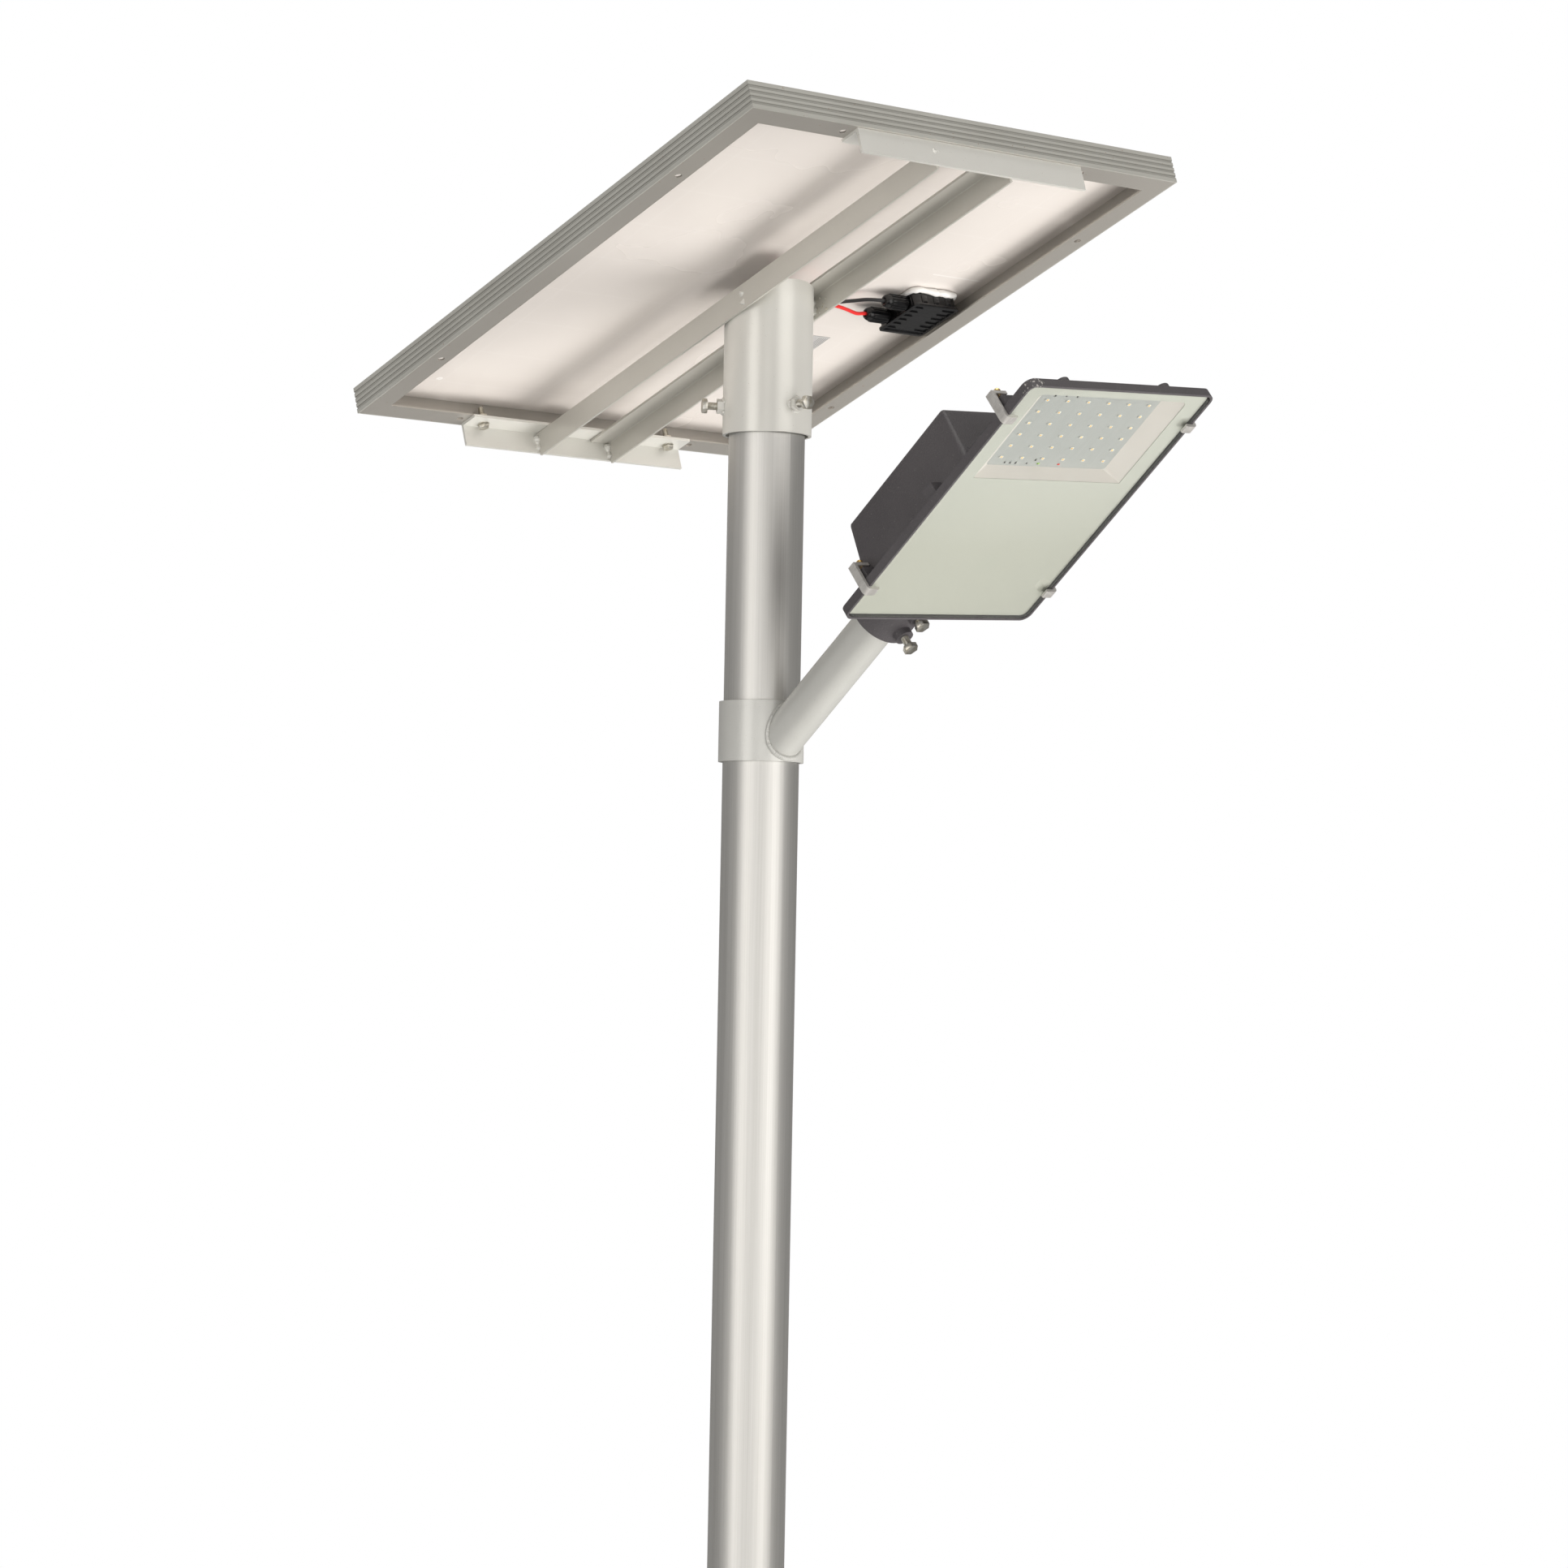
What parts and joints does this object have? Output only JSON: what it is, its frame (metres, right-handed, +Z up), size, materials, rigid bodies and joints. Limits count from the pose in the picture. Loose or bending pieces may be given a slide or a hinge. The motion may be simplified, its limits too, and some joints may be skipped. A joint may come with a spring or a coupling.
{
  "type": "solar street lamp",
  "caption": "Solar street lamp: tubular pole on a base plate, tilted solar panel on a swivelling sleeve, and a flat LED lamp on a sloping arm.",
  "frame": {"origin": "underside of the base plate, on the pole's axis", "axes": "+Z up along the pole, +X along the arm towards the lamp, +Y across the panel"},
  "size_m": [0.8685, 0.532, 3.1576],
  "materials": {
    "pole_metal": "vertically brushed, bright",
    "galvanised": "dull galvanised",
    "powder_coat": "light grey powder coat, satin",
    "arm_paint": "silver paint, fine texture",
    "zinc_bolt": "zinc plated",
    "frame_aluminium": "anodised, satin",
    "solar_glass": "clear, fine texture",
    "cell_blue": "dark blue silicon",
    "backsheet_white": "satin white film",
    "label": "printed foil",
    "box_black": "black moulded plastic",
    "sealant_white": "white silicone",
    "cable_black": "black cable sheath",
    "cable_red": "red cable sheath",
    "casting_grey": "dark grey, fine texture",
    "gasket_black": "black rubber",
    "cover_glass": "clear toughened glass",
    "print_grey": "pale grey-green screen print",
    "reflector_white": "matt white",
    "board_white": "silver-white board",
    "led_yellow": "yellow phosphor",
    "signal_green": "clear signal LED",
    "battery_blue": "blue shrink wrap",
    "controller_green": "potted circuit",
    "clamp_aluminium": "raw extruded",
    "brass": "bright brass"
  },
  "bodies": {
    "pole": {"pole_tube": "pole_metal", "base_plate": "galvanised", "gussets": "galvanised", "pole_cable": "cable_black"},
    "panel_head": {"sleeve": "powder_coat", "sleeve_nuts": "powder_coat", "rail_left": "powder_coat", "rail_right": "powder_coat", "cross_low": "powder_coat", "cross_high": "powder_coat", "panel_bolts": "zinc_bolt", "panel_nuts": "zinc_bolt", "frame_low": "frame_aluminium", "frame_high": "frame_aluminium", "frame_left": "frame_aluminium", "frame_right": "frame_aluminium", "panel_glass": "solar_glass", "solar_cells": "cell_blue", "backsheet": "backsheet_white", "junction_box": "box_black", "junction_lid": "box_black", "gland_red": "box_black", "gland_black": "box_black", "sealant": "sealant_white", "panel_label": "label", "pv_lead_red": "cable_red", "pv_lead_black": "cable_black", "head_cable": "cable_black"},
    "arm": {"collar": "arm_paint", "collar_nut": "arm_paint", "arm_tube": "arm_paint", "arm_cable": "cable_black"},
    "lamp": {"lamp_housing": "casting_grey", "gasket": "gasket_black", "cover_glass": "cover_glass", "glass_print": "print_grey", "reflector": "reflector_white", "led_board": "board_white", "leds": "led_yellow", "signal_leds": "signal_green", "battery_pack": "battery_blue", "charge_controller": "controller_green", "lamp_cable": "cable_black"},
    "sleeve_set_bolt_1": {"sleeve_bolt_1": "zinc_bolt"},
    "sleeve_set_bolt_2": {"sleeve_bolt_2": "zinc_bolt"},
    "sleeve_set_bolt_3": {"sleeve_bolt_3": "zinc_bolt"},
    "collar_set_bolt": {"collar_bolt": "zinc_bolt"},
    "spigot_set_bolt_1": {"spigot_bolt_1": "zinc_bolt"},
    "spigot_set_bolt_2": {"spigot_bolt_2": "zinc_bolt"},
    "glass_clamp_1": {"clamp_1": "clamp_aluminium", "clamp_screw_1": "brass"},
    "glass_clamp_2": {"clamp_2": "clamp_aluminium", "clamp_screw_2": "brass"},
    "glass_clamp_3": {"clamp_3": "clamp_aluminium", "clamp_screw_3": "brass"},
    "glass_clamp_4": {"clamp_4": "clamp_aluminium", "clamp_screw_4": "brass"}
  },
  "joints": [
    {"name": "panel_swivel", "type": "hinge", "parent": "pole", "child": "panel_head", "pos_m": [0, 0, 2.975], "axis": [0, 0, 1], "range_deg": [-180, 180]},
    {"name": "arm_swivel", "type": "hinge", "parent": "pole", "child": "arm", "pos_m": [0, 0, 2.586], "axis": [0, 0, 1], "range_deg": [-12, 12]},
    {"name": "lamp_roll", "type": "hinge", "parent": "arm", "child": "lamp", "pos_m": [0.19966, 0, 2.70443], "axis": [0.7986, 0, 0.6018], "range_deg": [-19.5, 10.5]},
    {"name": "sleeve_bolt_1_screw", "type": "slide", "parent": "panel_head", "child": "sleeve_set_bolt_1", "axis": [1, 0, 0], "range_m": [0, 0.012]},
    {"name": "sleeve_bolt_2_screw", "type": "slide", "parent": "panel_head", "child": "sleeve_set_bolt_2", "axis": [-0.5, 0.866, 0], "range_m": [0, 0.012]},
    {"name": "sleeve_bolt_3_screw", "type": "slide", "parent": "panel_head", "child": "sleeve_set_bolt_3", "axis": [-0.5, -0.866, 0], "range_m": [0, 0.012]},
    {"name": "collar_bolt_screw", "type": "slide", "parent": "arm", "child": "collar_set_bolt", "axis": [-1, 0, 0], "range_m": [0, 0.012]},
    {"name": "spigot_bolt_1_screw", "type": "slide", "parent": "lamp", "child": "spigot_set_bolt_1", "axis": [0.6, 0.0785, -0.7962], "range_m": [0, 0.01]},
    {"name": "spigot_bolt_2_screw", "type": "slide", "parent": "lamp", "child": "spigot_set_bolt_2", "axis": [0.6, 0.0785, -0.7962], "range_m": [0, 0.01]},
    {"name": "clamp_1_slide", "type": "slide", "parent": "lamp", "child": "glass_clamp_1", "axis": [0.0472, -0.9969, -0.0627], "range_m": [0, 0.022]},
    {"name": "clamp_2_slide", "type": "slide", "parent": "lamp", "child": "glass_clamp_2", "axis": [0.0472, -0.9969, -0.0627], "range_m": [0, 0.022]},
    {"name": "clamp_3_slide", "type": "slide", "parent": "lamp", "child": "glass_clamp_3", "axis": [-0.0472, 0.9969, 0.0627], "range_m": [0, 0.022]},
    {"name": "clamp_4_slide", "type": "slide", "parent": "lamp", "child": "glass_clamp_4", "axis": [-0.0472, 0.9969, 0.0627], "range_m": [0, 0.022]}
  ]
}
